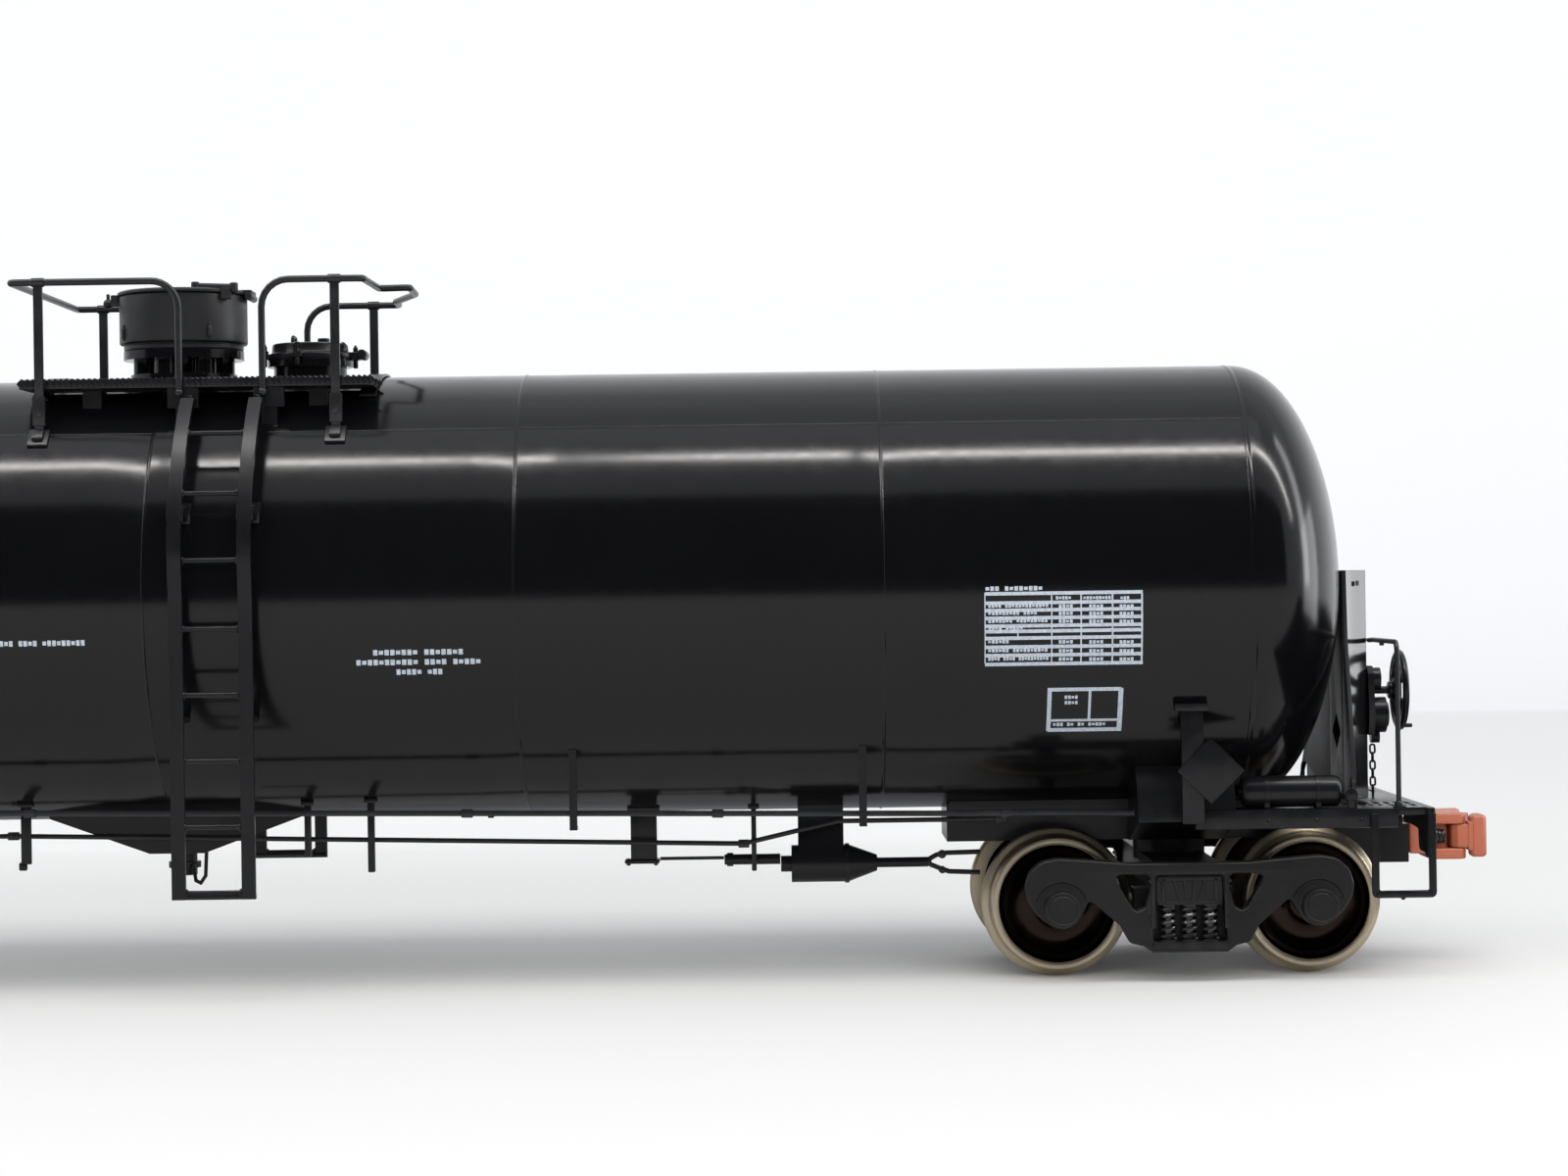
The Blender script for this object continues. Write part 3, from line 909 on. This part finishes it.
# ---- end platforms: slotted deck, folded side beams, striker plate with its corner legs
bm = bmesh.new()
one = bmesh.new()
slots = []
for k in range(5):
    x = 94.6 + 0.8 * k
    for y in (-11.5, -8.8, 6.6, 9.3):
        slots.append(round2([(x, y), (x + 0.42, y), (x + 0.42, y + 2.2), (x, y + 2.2)], 0.12, 2))
pb = plate_mesh([(93.6, -13.0), (98.6, -13.0), (98.6, 13.0), (93.6, 13.0)], slots, 0.6, bevel=0.05, res=1)
from_plate(one, pb, Matrix.Translation((0, 0, 13.0 * MM))); pb.free()
for s in (-1, 1):
    def sbx(a, b_, bev=0.08):
        add_box(one, (a[0], min(s * a[1], s * b_[1]), a[2]), (b_[0], max(s * a[1], s * b_[1]), b_[2]), bev)
    sbx((84.1, 10.3, 12.75), (96.3, 13.45, 13.3), 0.06)
    sbx((80.5, 12.98, 11.8), (96.3, 13.6, 13.3), 0.12)
    for x in (86.2, 89.9, 93.4):
        add_sphere(one, (x, s * 13.6, 12.45), 0.16, 12)
    sbx((96.0, 12.4, 13.22), (96.95, 13.1, 13.42), 0.08)
sp = [(-13.6, 9.4), (-12.7, 9.4), (-12.35, 9.7), (-10.3, 9.75), (-9.9, 10.1), (-9.7, 11.4), (-7.4, 11.5), (-3.6, 11.6), (-3.6, 12.42), (3.6, 12.42), (3.6, 11.6), (7.4, 11.5), (9.7, 11.4), (9.9, 10.1), (10.3, 9.75), (12.35, 9.7), (12.7, 9.4), (13.6, 9.4), (13.6, 13.3), (-13.6, 13.3)]
rr = [0.15, 0.15, 0.3, 0.3, 0.3, 0.3, 0.3, 0.1, 0, 0, 0.1, 0.3, 0.3, 0.3, 0.3, 0.3, 0.15, 0.15, 0.12, 0.12]
pb = plate_mesh(round2(sp, rr, 3), [], 0.6, bevel=0.07, res=2)
from_plate(one, pb, YZ(98.8)); pb.free()
for s in (-1, 1):
    for y in (5.2, 8.4, 12.9):
        add_sphere(one, (99.08, s * y, 12.75), 0.15, 10)
add_bm(bm, one, 1.0)
add_bm(bm, one, 1.0, Matrix.Scale(-1, 4, (1, 0, 0)))
one.free()
o = finish_mesh("end_platform_decks", bm, M["frame_black"], 35); place(o, "car", "frame_black", "end_platforms")

# ---- placard posts: flat bar with a T top against the tank, a foot on the side beam and a plain diamond board
bm = bmesh.new()
one = bmesh.new()
add_box(one, (79.3, 14.9, 12.4), (81.0, 15.5, 21.4), 0.07)
add_box(one, (78.75, 14.6, 21.1), (81.35, 16.0, 21.7), 0.12)
add_box(one, (80.4, 13.55, 12.0), (81.0, 15.1, 13.2), 0.05)
add_box(one, (80.0, 15.4, 15.9), (80.8, 15.6, 17.1), 0.03)
pb = plate_mesh([(78.9, 16.5), (81.5, 13.95), (84.1, 16.5), (81.5, 19.05)], [], 0.35, bevel=0.07, res=1)
from_plate(one, pb, Matrix.Translation((0, 15.655 * MM, 0)) @ Matrix.Rotation(math.pi / 2, 4, "X")); pb.free()
fx, fy = Matrix.Scale(-1, 4, (1, 0, 0)), Matrix.Scale(-1, 4, (0, 1, 0))
add_bm(bm, one, 1.0)
for mm in (fx, fy, fx @ fy):
    add_bm(bm, one, 1.0, mm)
one.free()
o = finish_mesh("placard_post_boards", bm, M["frame_black"], 35); place(o, "car", "frame_black", "placard_holders")

# ---- stirrup steps: bent flat bar with round corners and a tread
bm = bmesh.new()
u_out = round2([(94.1, 12.9), (94.1, 6.35), (99.1, 6.35), (99.1, 12.9), (98.52, 12.9), (98.52, 6.93), (94.68, 6.93), (94.68, 12.9)], [0, 0.5, 0.5, 0, 0, 0.16, 0.16, 0], 5)
pb = plate_mesh(u_out, [], 0.3, bevel=0.07, res=2)
for sx in (-1, 1):
    for s in (-1, 1):
        if sx > 0:
            from_plate(bm, pb, XZ(s * 13.76))
        else:
            from_plate(bm, pb, Matrix.Scale(-1, 4, (1, 0, 0)) @ XZ(s * 13.76))
        xa, xb = (94.4, 98.8) if sx > 0 else (-98.8, -94.4)
        add_box(bm, (xa, min(s * 13.1, s * 14.1), 6.4), (xb, max(s * 13.1, s * 14.1), 6.86), 0.12)
        add_sphere(bm, (sx * 96.5, s * 13.75, 6.38), 0.2, 12)
pb.free()
o = finish_mesh("stirrup_step_bars", bm, M["frame_black"], 35); place(o, "car", "frame_black", "stirrup_steps")

# ---- couplers: cast head with guard arm and lugs, and a hooked knuckle that stands clear of them
def coupler_head():
    bm = bmesh.new()
    add_cyl(bm, (96.2, 0, 9.15), (96.2, 0, 10.85), 1.35, 32, 0.15)
    add_box(bm, (96.2, -1.1, 9.15), (100.4, 1.1, 10.85), 0.18)
    add_box(bm, (99.35, -1.6, 8.72), (101.6, 1.6, 11.62), 0.25, 3)
    lug = [(100.75, -1.9), (101.15, -2.8), (103.35, -3.0), (103.78, -2.4), (103.7, -1.2), (103.05, -0.6), (103.45, 1.2), (104.2, 2.0), (104.3, 3.8), (102.55, 3.3), (100.75, 2.1)]
    lr = [0.3, 0.3, 0.35, 0.3, 0.3, 0.4, 0.4, 0.3, 0.3, 0.6, 0.4]
    for z in (8.78, 11.62):
        pb = plate_mesh(round2(lug, lr, 4), [], 0.86, bevel=0.16, res=3)
        from_plate(bm, pb, Matrix.Translation((0, 0, z * MM))); pb.free()
    mid = [(100.75, -1.9), (101.02, -2.74), (101.03, -1.75), (102.2, -1.75), (102.42, -1.6), (102.42, 0.92), (103.2, 0.95), (103.5, 1.25), (104.85, 2.6), (105.28, 3.65), (104.75, 3.97), (102.55, 3.3), (100.75, 2.1)]
    pb = plate_mesh(round2(mid, 0.1, 2), [], 2.9, bevel=0.1, res=2)
    from_plate(bm, pb, Matrix.Translation((0, 0, 10.2 * MM))); pb.free()
    # raised horn over the neck, and the ends of the knuckle pin's bosses
    add_box(bm, (100.9, -1.2, 11.8), (101.75, 1.2, 12.04), 0.1)
    for z0, z1 in ((12.0, 12.05), (8.4, 8.35)):
        add_cyl(bm, (103.05, -2.0, z0), (103.05, -2.0, z1), 0.52, 20, 0.02)
    return bm
def coupler_knuckle():
    bm = bmesh.new()
    hub = [(102.6, -2.45), (103.05, -2.86), (104.3, -2.95), (104.6, -1.2), (104.25, -0.8), (103.65, -0.6), (103.35, 0.5), (102.75, 0.4), (102.55, -1.0)]
    pb = plate_mesh(round2(hub, [0.25, 0.3, 0.1, 0.2, 0.2, 0.3, 0.2, 0.2, 0.3], 4), [], 1.92, bevel=0.2, res=3)
    from_plate(bm, pb, Matrix.Translation((0, 0, 10.2 * MM))); pb.free()
    # shoulder that joins the hub to the hooked face
    sh = [(103.86, -2.98), (104.6, -3.05), (104.7, -1.0), (104.3, -0.9), (103.9, -1.6)]
    pb = plate_mesh(round2(sh, 0.08, 2), [], 2.34, bevel=0.1, res=2)
    from_plate(bm, pb, Matrix.Translation((0, 0, 10.2 * MM))); pb.free()
    face = [(104.07, -2.85), (104.3, -3.08), (105.08, -3.08), (105.38, -2.72), (105.38, -0.62), (105.28, -0.36), (104.85, -0.22), (104.45, -0.6), (104.12, -1.6)]
    pb = plate_mesh(round2(face, [0.1, 0.15, 0.3, 0.25, 0.2, 0.15, 0.3, 0.4, 0.3], 4), [], 3.4, bevel=0.32, res=5)
    from_plate(bm, pb, Matrix.Translation((0, 0, 10.2 * MM))); pb.free()
    add_cyl(bm, (103.05, -2.0, 8.38), (103.05, -2.0, 12.02), 0.27, 20, 0.04)
    return bm
for tag, sg in (("b", 1), ("a", -1)):
    for nm, fn, body, node in (("coupler_casting_", coupler_head, "coupler_", "coupler_"), ("knuckle_hook_", coupler_knuckle, "knuckle_", "knuckle_")):
        bm = fn()
        if sg < 0:
            for v in bm.verts:
                v.co.x, v.co.y = -v.co.x, -v.co.y
        o = finish_mesh(nm + tag, bm, M["coupler_rust"], 38)
        place(o, body + tag, "coupler_rust", node + tag)

# ---- printed markings: plain grids and dashes, raised a hair from the shell
def mark(bm, x0, x1, z0, z1, side):
    n = max(1, int(abs(z1 - z0) / 0.6) + 1)
    outer, inner = [], []
    for k in range(n + 1):
        z = z0 + (z1 - z0) * k / n
        a = math.asin((z - AZ) / R)
        for rr, dst in ((R + 0.012, outer), (R - 0.03, inner)):
            y = side * rr * math.cos(a); zz = AZ + rr * math.sin(a)
            dst.append((bm.verts.new(Vector((x0, y, zz)) * MM), bm.verts.new(Vector((x1, y, zz)) * MM)))
    for lst in (outer, inner):
        for p, q in zip(lst, lst[1:]):
            bm.faces.new((p[0], p[1], q[1], q[0]))
    for k in range(n):
        for e in (0, 1):
            bm.faces.new((outer[k][e], outer[k + 1][e], inner[k + 1][e], inner[k][e]))
    for k in (0, n):
        bm.faces.new((outer[k][0], outer[k][1], inner[k][1], inner[k][0]))

CX, F = 48.9, 3312.0
def px(x, y):
    """picture position to X and Z on the near side of the shell"""
    dx = (x - 800) - (y - 600) * 0.01396; dy = (y - 600) + (x - 800) * 0.01396
    Y = -17.0
    for _ in range(4):
        Z = 31.0 - dy * (265 + Y) / F
        Y = -math.sqrt(max(R * R - (Z - AZ) ** 2, 0.01))
    return CX + dx * (265 + Y) / F, Z

def dash_line(bm, x0, x1, zc, h, words, side, mir):
    """a line of small blocks grouped like words, without any letters"""
    total = sum(words) + len(words) - 1
    u = (x1 - x0) / total
    x = x0
    for w in words:
        for k in range(w):
            a = x + k * u + u * 0.12; b_ = x + (k + 1) * u - u * 0.12
            hh = h / 2 * (1.0 if (k * 7 + w) % 3 else 0.72)
            mark(bm, mir(a), mir(b_), zc - hh, zc + hh, side)
        x += (w + 1) * u

def markings(side):
    bm = bmesh.new()
    mid = 52.0
    mir = (lambda x: x) if side < 0 else (lambda x: x)
    def rect(px0, py0, px1, py1):
        (a, z1), (b_, z0) = px(px0, py0), px(px1, py1)
        mark(bm, mir(a), mir(b_), z0, z1, side)
    # inspection grid
    xs = [1005, 1073, 1103, 1135, 1165]; ys = [605, 614.5, 622, 630, 638, 643.5, 650.5, 659.5, 668, 677]
    for y in ys:
        rect(1005, y - 0.65, 1166, y + 0.65)
    for x in xs:
        rect(x - 0.65, 605, x + 0.65, 677)
    rect(1038, 643.5, 1039.3, 650.5)
    (a, za), (b_, zb) = px(1005, 600.5), px(1064, 600.5)
    dash_line(bm, a, b_, (za + zb) / 2, 0.34, [3, 8], side, mir)
    rows = [(618.5, [4, 13]), (626, [9, 4]), (634, [7, 9]), (641, [4, 5]), (655, [6]), (664, [6, 10]), (672.5, [4, 4, 10])]
    for y, words in rows:
        n = sum(words) + len(words) - 1
        (a, za), (b_, zb) = px(1008, y), px(1008 + min(62, n * 3.6), y)
        dash_line(bm, a, b_, za, 0.26, words, side, mir)
        if y != 641:
            for x in (1080, 1111, 1142):
                (a, za), (b_, zb) = px(x, y), px(x + 15, y)
                dash_line(bm, a, b_, za, 0.26, [4], side, mir)
    for x, ww in ((1077, [5]), (1105, [9]), (1143, [3])):
        (a, za), (b_, zb) = px(x, 610), px(x + ww[0] * 3.2, 610)
        dash_line(bm, a, b_, za, 0.24, ww, side, mir)
    # second box
    for (x0, y0, x1, y1) in ((1069, 702, 1144, 704.6), (1069, 743, 1144, 745.6), (1069, 702, 1071.6, 745.6), (1141.4, 702, 1144, 745.6), (1111, 704, 1112.3, 735), (1070, 734, 1143, 735.3)):
        rect(x0, y0, x1, y1)
    for y in (711.5, 717):
        (a, za), (b_, zb) = px(1086, y), px(1100, y)
        dash_line(bm, a, b_, za, 0.26, [4], side, mir)
    (a, za), (b_, zb) = px(1074, 739.3), px(1128, 739.3)
    dash_line(bm, a, b_, za, 0.26, [3, 2, 2, 5], side, mir)
    # three centred lines and one line at the far left
    for (x0, x1, y, words) in ((380, 473, 665.5, [8, 7]), (363, 491, 675.5, [11, 4, 5]), (404, 452, 685.5, [5, 3])):
        (a, za), (b_, zb) = px(x0, y), px(x1, y)
        dash_line(bm, a, b_, (za + zb) / 2, 0.42, words, side, mir)
    (a, za), (b_, zb) = px(-60, 656.5), px(87, 657.5)
    dash_line(bm, a, b_, (za + zb) / 2, 0.42, [5, 4, 4, 4, 9], side, mir)
    o = finish_mesh("markings_near" if side < 0 else "markings_far", bm, M["print_white"], 60)
    place(o, "car", "tank_black")
markings(-1); markings(1)

# ------------------------------------------------------------------ finishes of the CAD nodes
BEVEL = {}
for n, o in NODES.items():
    if o.hide_render:
        continue
    slot = SLOT[n]
    mat = M[slot]
    o.data.materials.clear()
    o.data.materials.append(mat)
    if "custom_normal" in o.data.attributes:
        o.data.attributes.remove(o.data.attributes["custom_normal"])
    for p in o.data.polygons:
        p.use_smooth = True
    w = o.modifiers.new("weld", 'WELD'); w.merge_threshold = 2e-6
    bv = o.modifiers.new("bevel", 'BEVEL'); bv.width = 0.00006; bv.segments = 2; bv.limit_method = 'ANGLE'
    bv.angle_limit = math.radians(40); bv.use_clamp_overlap = True; bv.harden_normals = True

# ------------------------------------------------------------------ stage and light
def stage_plane(name, size, loc, rot, mat):
    me = bpy.data.meshes.new(name)
    s = size
    me.from_pydata([(-s[0], -s[1], 0), (s[0], -s[1], 0), (s[0], s[1], 0), (-s[0], s[1], 0)], [], [(0, 1, 2, 3)])
    o = bpy.data.objects.new(name, me)
    o.location = loc; o.rotation_euler = rot
    me.materials.append(mat)
    COL.objects.link(o)
    return o

mf, nt, b = new_mat("floor_white")
tc = N(nt, "ShaderNodeTexCoord"); nz = noise_tex(nt, tc.outputs["Object"], 30.0, 2.0)
sx = N(nt, "ShaderNodeSeparateXYZ"); L(nt, tc.outputs["Object"], sx.inputs[0])
gr = mapr(nt, sx.outputs["Y"], 0.1, 0.8, 0.0, 1.0)
wob = N(nt, "ShaderNodeMath", operation="MULTIPLY_ADD"); wob.inputs[1].default_value = 0.03; wob.inputs[2].default_value = -0.015
L(nt, nz.outputs["Fac"], wob.inputs[0])
sm = N(nt, "ShaderNodeMath", operation="ADD"); L(nt, gr.outputs[0], sm.inputs[0]); L(nt, wob.outputs[0], sm.inputs[1])
cr = ramp(nt, sm.outputs[0], [(0.0, (FLOOR, FLOOR, FLOOR * 0.985)), (1.0, (WALL * 0.985, WALL * 0.99, WALL * 1.01))])
L(nt, cr.outputs["Color"], b.inputs["Base Color"]); b.inputs["Roughness"].default_value = 0.7
b.inputs["Specular IOR Level"].default_value = 0.1
# a paper sweep: flat floor, a soft curve behind, then a wall
def sweep():
    bm = bmesh.new()
    prof = [(-2.5, 0.0), (-1.2, 0.0), (-0.6, 0.0), (-0.3, 0.0), (0.0, 0.0), (0.3, 0.0)]
    rr, y0 = 0.5, 0.45
    prof += [(y0 + rr * math.sin(a), rr - rr * math.cos(a)) for a in [math.radians(d) for d in range(0, 91, 6)]]
    prof += [(y0 + rr, z) for z in (0.9, 1.3, 1.7)]
    rows = [[bm.verts.new((x, y, z)) for x in (-3.0, -1.0, 0.0, 1.0, 3.0)] for y, z in prof]
    for a, b2 in zip(rows, rows[1:]):
        for k in range(4):
            bm.faces.new((a[k], a[k + 1], b2[k + 1], b2[k]))
    me = bpy.data.meshes.new("paper_sweep"); bm.to_mesh(me); bm.free()
    for p in me.polygons:
        p.use_smooth = True
    o = bpy.data.objects.new("paper_sweep", me)
    me.materials.append(mf); COL.objects.link(o)
    return o
sweep()

def emit_mat(name, color, strength):
    m, nt, b = new_mat(name)
    b.inputs["Base Color"].default_value = (0, 0, 0, 1); b.inputs["Roughness"].default_value = 1.0; b.inputs["Specular IOR Level"].default_value = 0.0
    b.inputs["Emission Color"].default_value = (*color, 1); b.inputs["Emission Strength"].default_value = strength
    return m
black = emit_mat("flag_black", (0, 0, 0), 0.0)
# dark card in front of the wagon, out of the picture, that keeps the middle of the tank black
def card(name, y, z0, z1, x0, x1, mat):
    me = bpy.data.meshes.new(name)
    me.from_pydata([(x0, y, z0), (x1, y, z0), (x1, y, z1), (x0, y, z1)], [], [(0, 1, 2, 3)])
    o = bpy.data.objects.new(name, me); me.materials.append(mat); COL.objects.link(o)
    o.visible_camera = False; o.visible_diffuse = False; o.visible_shadow = False
    return o
card("front_card", -0.75, 0.001, 0.93, -2.0, 1.5, black)

world = bpy.data.worlds.new("studio")
scene.world = world
world.use_nodes = True
bg = world.node_tree.nodes["Background"]
bg.inputs["Color"].default_value = (0.93, 0.945, 0.985, 1)
bg.inputs["Strength"].default_value = WORLD

def area(name, loc, target, size, power, color=(1, 1, 1), sy=None):
    ld = bpy.data.lights.new(name, 'AREA')
    ld.shape = 'RECTANGLE'; ld.size = size; ld.size_y = sy or size
    ld.energy = power; ld.color = color
    o = bpy.data.objects.new(name, ld)
    o.location = loc
    o.rotation_euler = (Vector(target) - Vector(loc)).to_track_quat('-Z', 'Y').to_euler()
    COL.objects.link(o)
    return o

# strip softbox overhead, a little in front
for nm, x, sz, pw in (("strip_left", -0.76, 1.4, KEY), ("strip_right", 1.32, 2.66, KEY * 1.95)):
    st = area(nm, (x, -0.29, 1.0), (x, 0, 0.03), sz, pw, color=(1.0, 0.985, 0.96), sy=0.05)
    st.visible_diffuse = False
# dark sheet on the table to the right, out of the picture, seen only in the tank's end
def flat_card(name, x0, x1, y0, y1, z, mat):
    me = bpy.data.meshes.new(name)
    me.from_pydata([(x0, y0, z), (x1, y0, z), (x1, y1, z), (x0, y1, z)], [], [(0, 1, 2, 3)])
    o = bpy.data.objects.new(name, me); me.materials.append(mat); COL.objects.link(o)
    o.visible_camera = False; o.visible_diffuse = False; o.visible_shadow = False
flat_card("side_card", 0.112, 0.55, -0.05, 0.93, 0.001, black)
flat_card("under_card", -0.20, 0.1119, 0.010, 0.13, 0.001, emit_mat("flag_grey", (0.9, 0.92, 1.0), 0.30))
# narrow upright softbox to the right, mirrored in the tank's end and the brake stand
sb = area("side_strip", (1.10, 0.21, 0.62), (0.09, -0.016, 0.62), 0.16, 3.2, color=(0.96, 0.98, 1.0), sy=1.2)
sb.visible_diffuse = False; sb.visible_camera = False
sc = area("side_card_light", (0.30, 0.058, 0.046), (0.0952, -0.002, 0.036), 0.10, 0.085, color=(0.96, 0.98, 1.0), sy=0.09)
sc.visible_diffuse = False; sc.visible_camera = False
# soft fill from the front, kept out of the reflections
lf = area("low_fill", (0.05, -1.05, 0.42), (0.05, 0, 0.02), 1.8, FRONT * 0.9, color=(1.0, 0.99, 0.97), sy=0.5)
lf.visible_glossy = False
ff = area("front_fill", (0.05, -0.50, 1.10), (0.05, 0, 0.02), 1.9, FRONT, color=(1.0, 0.99, 0.97), sy=0.7)
ff.visible_glossy = False
# wide fill for the paper behind
area("wall_fill", (0.0, 0.0, 1.9), (0.0, 0.9, 0.35), 1.6, FILL, color=(0.95, 0.97, 1.0), sy=0.5)

scene.view_settings.view_transform = 'Standard'
scene.view_settings.look = 'None'
